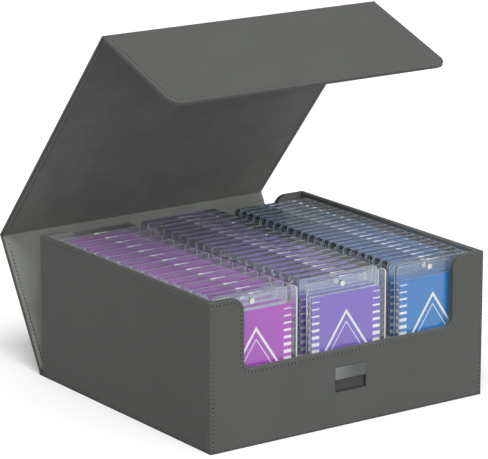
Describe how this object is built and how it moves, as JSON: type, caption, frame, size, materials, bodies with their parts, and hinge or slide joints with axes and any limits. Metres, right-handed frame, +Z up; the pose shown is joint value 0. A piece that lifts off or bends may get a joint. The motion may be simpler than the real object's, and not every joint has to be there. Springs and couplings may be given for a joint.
{
  "type": "card storage case",
  "caption": "Lined leatherette case with a folding wrap-over cover, a windowed front and rows of clear card holders that lift out.",
  "frame": {"origin": "middle of the box's bottom face, on the surface that it stands on", "axes": "+Z up, +X to the right seen from the front, the windowed front faces -Y and the cover hinges at +Y"},
  "size_m": [0.2804, 0.3279, 0.3175],
  "materials": {
    "leatherette": "fine-grained grey leatherette",
    "microfibre": "dark grey napped microfibre",
    "greyboard": "pressed grey board",
    "clear_acrylic": "clear moulded acrylic",
    "magenta_card": "printed card, magenta",
    "violet_card": "printed card, violet",
    "blue_card": "printed card, blue",
    "nickel": "nickel plate",
    "catch_metal": "brushed gunmetal",
    "catch_dark": "dark enamel"
  },
  "bodies": {
    "case": {"base_skin": "leatherette", "base_board": "greyboard", "floor_lining": "microfibre", "front_skin": "leatherette", "front_board": "greyboard", "front_lining": "microfibre", "back_skin": "leatherette", "back_board": "greyboard", "back_lining": "microfibre", "left_skin": "leatherette", "left_board": "greyboard", "left_lining": "microfibre", "right_skin": "leatherette", "right_board": "greyboard", "right_lining": "microfibre", "left_divider": "microfibre", "right_divider": "microfibre", "spine_strip": "leatherette", "catch_tray": "catch_dark", "catch_plate": "catch_metal", "catch_magnet": "nickel"},
    "rear_panel": {"rear_panel_skin": "leatherette", "rear_panel_board": "greyboard", "rear_panel_lining": "microfibre"},
    "top_panel": {"top_panel_skin": "leatherette", "top_panel_board": "greyboard", "top_panel_lining": "microfibre"},
    "front_flap": {"flap_skin": "leatherette", "flap_board": "greyboard", "flap_lining": "microfibre", "flap_magnet": "nickel"},
    "left_front_holder": {"left_front_lid": "clear_acrylic", "left_front_base": "clear_acrylic", "left_front_insert": "magenta_card", "left_front_magnets": "nickel"},
    "left_stack": {"left_stack_lid": "clear_acrylic", "left_stack_base": "clear_acrylic", "left_stack_insert": "magenta_card", "left_stack_magnets": "nickel"},
    "middle_front_holder": {"middle_front_lid": "clear_acrylic", "middle_front_base": "clear_acrylic", "middle_front_insert": "violet_card", "middle_front_magnets": "nickel"},
    "middle_stack": {"middle_stack_lid": "clear_acrylic", "middle_stack_base": "clear_acrylic", "middle_stack_insert": "violet_card", "middle_stack_magnets": "nickel"},
    "right_front_holder": {"right_front_lid": "clear_acrylic", "right_front_base": "clear_acrylic", "right_front_insert": "blue_card", "right_front_magnets": "nickel"},
    "right_stack": {"right_stack_lid": "clear_acrylic", "right_stack_base": "clear_acrylic", "right_stack_insert": "blue_card", "right_stack_magnets": "nickel"}
  },
  "joints": [
    {"name": "spine_hinge", "type": "hinge", "parent": "case", "child": "rear_panel", "pos_m": [0, 0.133, 0.0012], "axis": [-1, 0, 0], "range_deg": [-29.7, 60.3]},
    {"name": "top_fold", "type": "hinge", "parent": "rear_panel", "child": "top_panel", "pos_m": [0, 0.19667, 0.11282], "axis": [-1, 0, 0], "range_deg": [-20.2, 69.8]},
    {"name": "flap_fold", "type": "hinge", "parent": "top_panel", "child": "front_flap", "pos_m": [0, 0.02533, 0.31629], "axis": [-1, 0, 0], "range_deg": [-19.9, 70.1]},
    {"name": "left_front_lift", "type": "slide", "parent": "case", "child": "left_front_holder", "axis": [0, 0, 1], "range_m": [0, 0.13]},
    {"name": "left_stack_lift", "type": "slide", "parent": "case", "child": "left_stack", "axis": [0, 0, 1], "range_m": [0, 0.06]},
    {"name": "middle_front_lift", "type": "slide", "parent": "case", "child": "middle_front_holder", "axis": [0, 0, 1], "range_m": [0, 0.13]},
    {"name": "middle_stack_lift", "type": "slide", "parent": "case", "child": "middle_stack", "axis": [0, 0, 1], "range_m": [0, 0.06]},
    {"name": "right_front_lift", "type": "slide", "parent": "case", "child": "right_front_holder", "axis": [0, 0, 1], "range_m": [0, 0.13]},
    {"name": "right_stack_lift", "type": "slide", "parent": "case", "child": "right_stack", "axis": [0, 0, 1], "range_m": [0, 0.075]}
  ]
}
